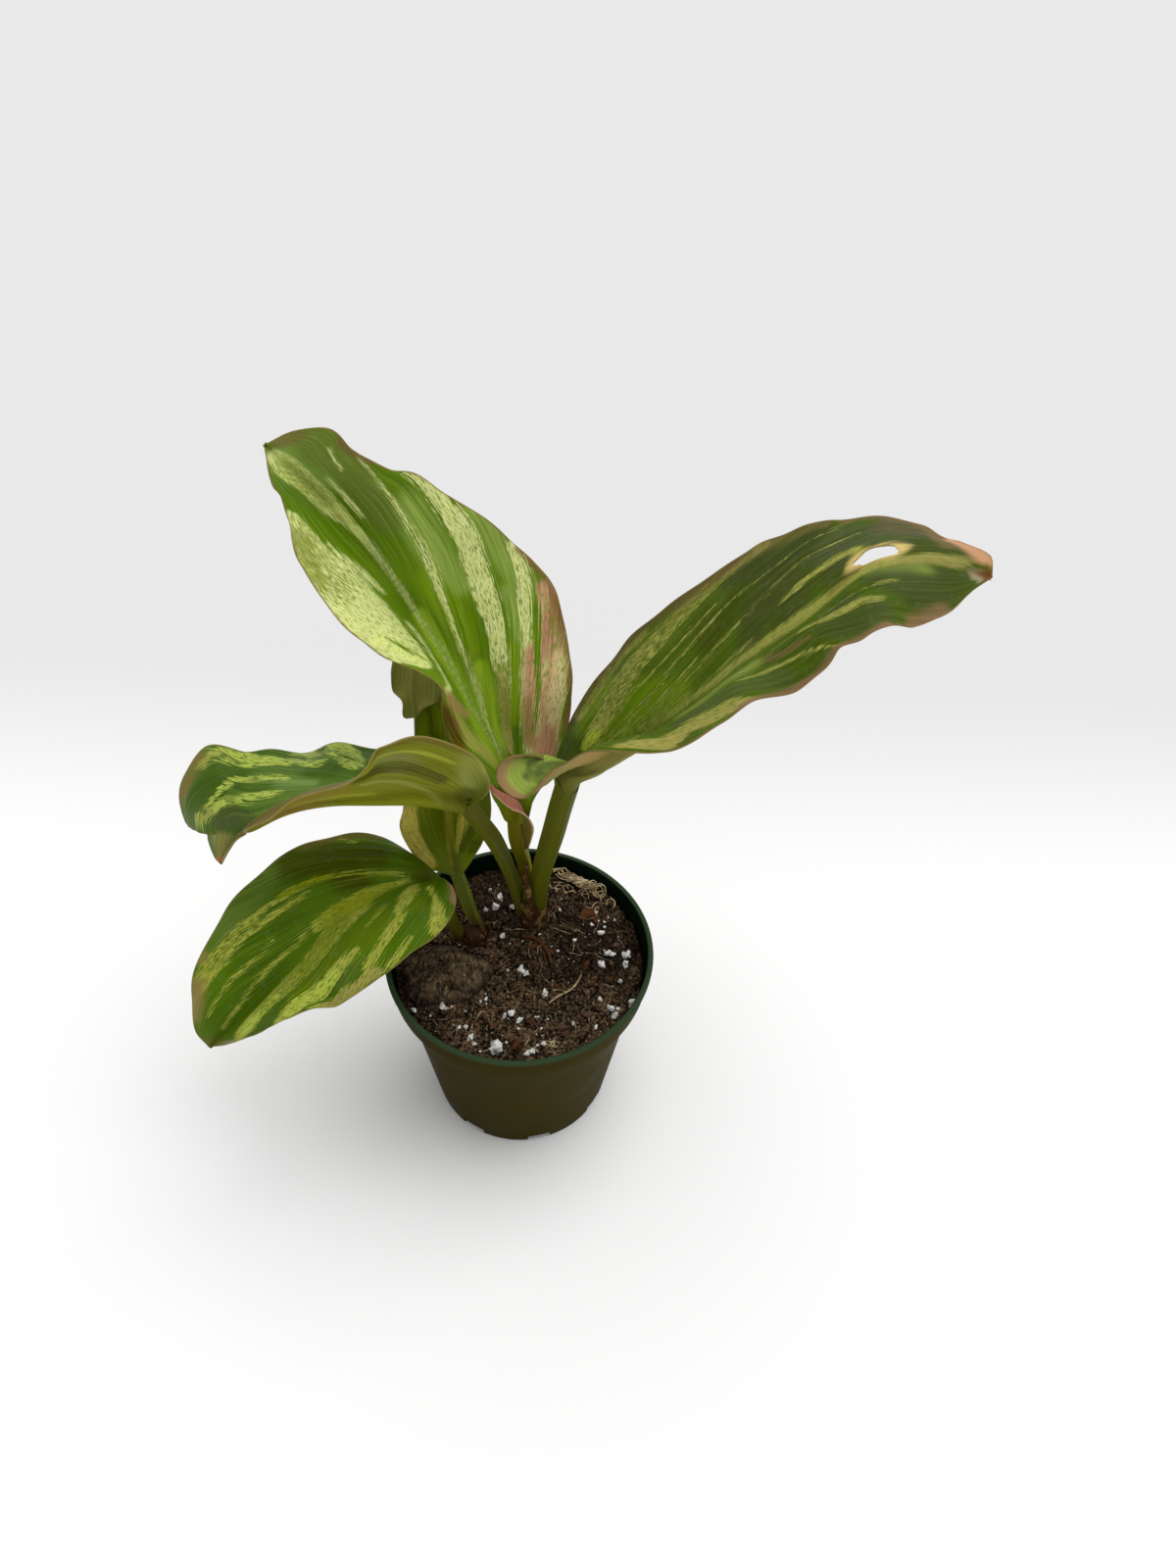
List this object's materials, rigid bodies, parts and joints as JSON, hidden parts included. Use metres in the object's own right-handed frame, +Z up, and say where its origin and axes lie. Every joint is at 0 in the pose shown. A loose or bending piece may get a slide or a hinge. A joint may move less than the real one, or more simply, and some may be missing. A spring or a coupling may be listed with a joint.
{
  "type": "potted variegated kaempferia",
  "caption": "Variegated leafy plant with long stalked leaves on two shoots, growing in soil in a round nursery pot.",
  "frame": {"origin": "centre of the pot's underside, on the surface that it stands on", "axes": "+Z up, +Y away from the viewer, +X to the viewer's right"},
  "size_m": [0.2596, 0.108, 0.2921],
  "materials": {
    "pot_plastic": "thin moulded olive-brown plastic with a green lip, satin",
    "soil": "damp crumbly peat mix with white perlite grains",
    "shoot": "brown papery leaf bases over olive flesh",
    "peat": "dry fibrous peat",
    "dry_root": "dry beige root strands",
    "leaf_tall": "mid-green leaf with cream and pink stripes, satin",
    "leaf_right": "green leaf greying to the tip, yellow-olive stripes, satin",
    "leaf_arched": "dark green leaf with pale margin, olive underside, satin",
    "leaf_low": "green leaf with yellow-green stripes, satin",
    "leaf_rear": "green leaf with a broad cream margin, satin"
  },
  "bodies": {
    "root": {"pot": "pot_plastic", "soil": "soil", "rhizome_and_shoots": "shoot", "peat_clump": "peat", "dry_root_tangle": "dry_root", "leaf_tall": "leaf_tall", "leaf_right": "leaf_right", "leaf_arched": "leaf_arched", "leaf_low": "leaf_low", "leaf_rear": "leaf_rear"}
  },
  "joints": []
}
